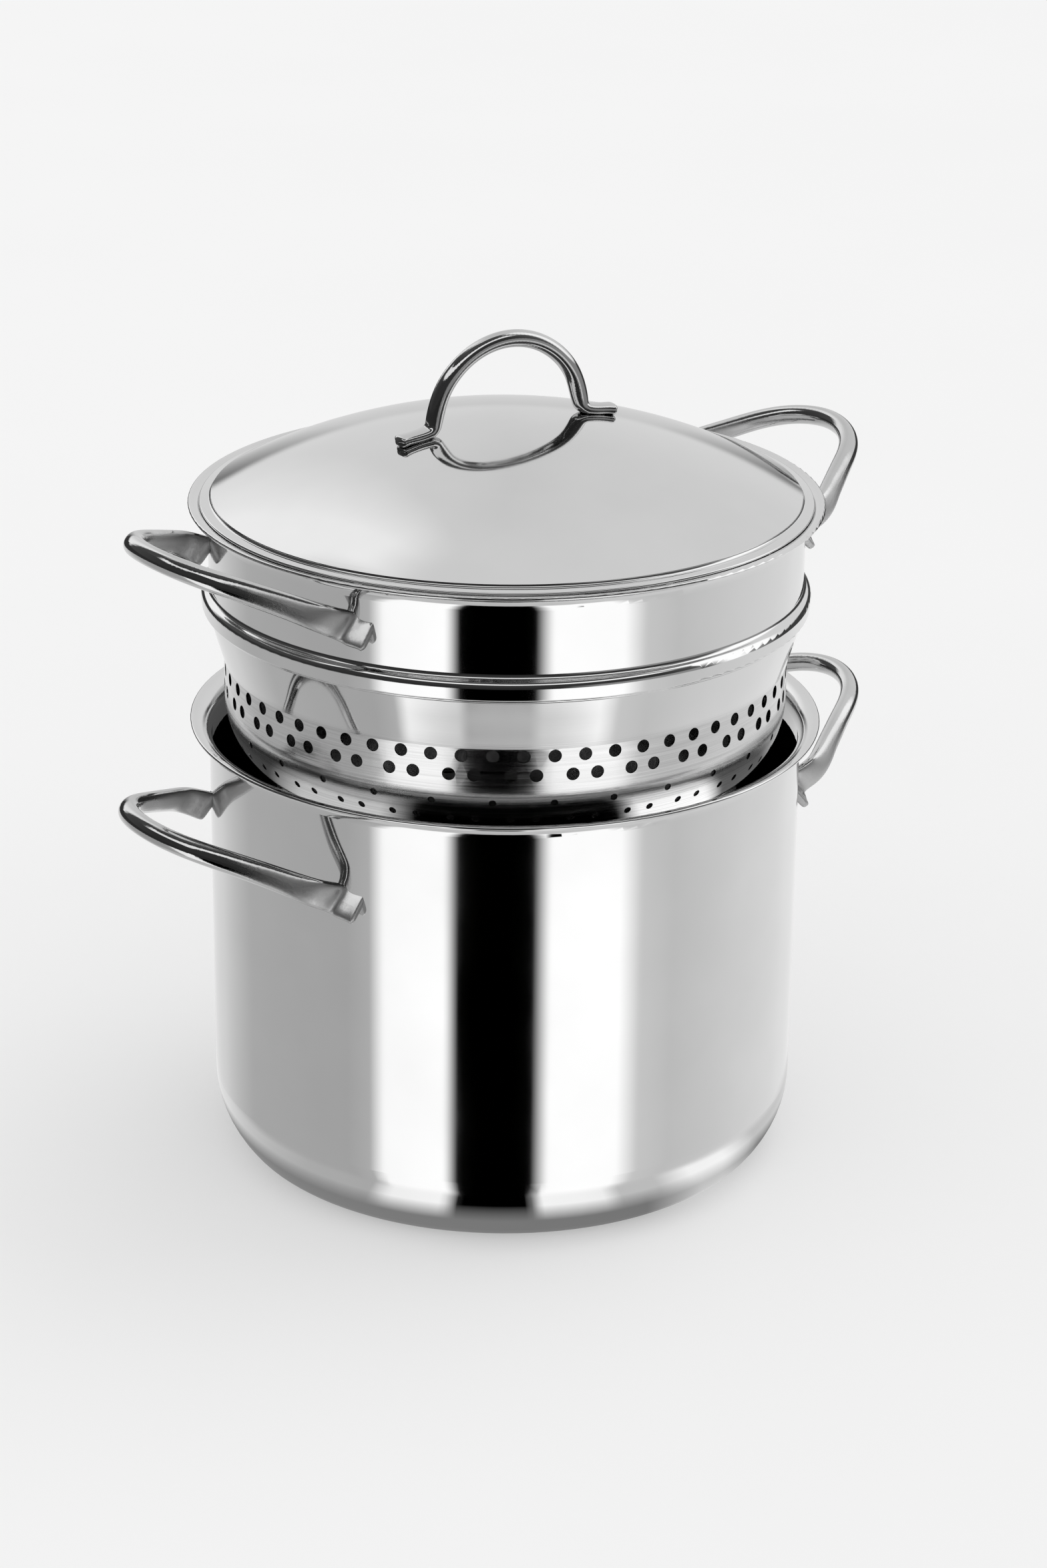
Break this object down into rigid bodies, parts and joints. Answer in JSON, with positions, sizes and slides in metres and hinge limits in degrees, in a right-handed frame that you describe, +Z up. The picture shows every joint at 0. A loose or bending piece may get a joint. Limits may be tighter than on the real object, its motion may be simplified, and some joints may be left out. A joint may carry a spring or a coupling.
{
  "type": "pasta pot",
  "caption": "Tall stainless steel pasta pot with forged loop handles, a perforated insert lifted half out of it, and a domed lid with an arched handle.",
  "frame": {"origin": "middle of the pot's flat base, on the surface it stands on", "axes": "+Z up along the pot's axis; the pot's two loop handles point along +X and -X; +Y square to them"},
  "size_m": [0.3488, 0.2572, 0.3461],
  "materials": {
    "pot_steel": "mirror polished stainless steel",
    "insert_steel": "polished band and cone, brushed perforated basket, stainless steel",
    "lid_steel": "polished stainless steel with a fine satin dome",
    "handle_steel": "polished forged stainless steel rod"
  },
  "bodies": {
    "root": {"pot_body": "pot_steel", "pot_handle_left": "handle_steel", "pot_handle_right": "handle_steel", "pasta_insert": "insert_steel", "insert_handle_left": "handle_steel", "insert_handle_right": "handle_steel", "lid": "lid_steel", "lid_handle": "handle_steel"}
  },
  "joints": []
}
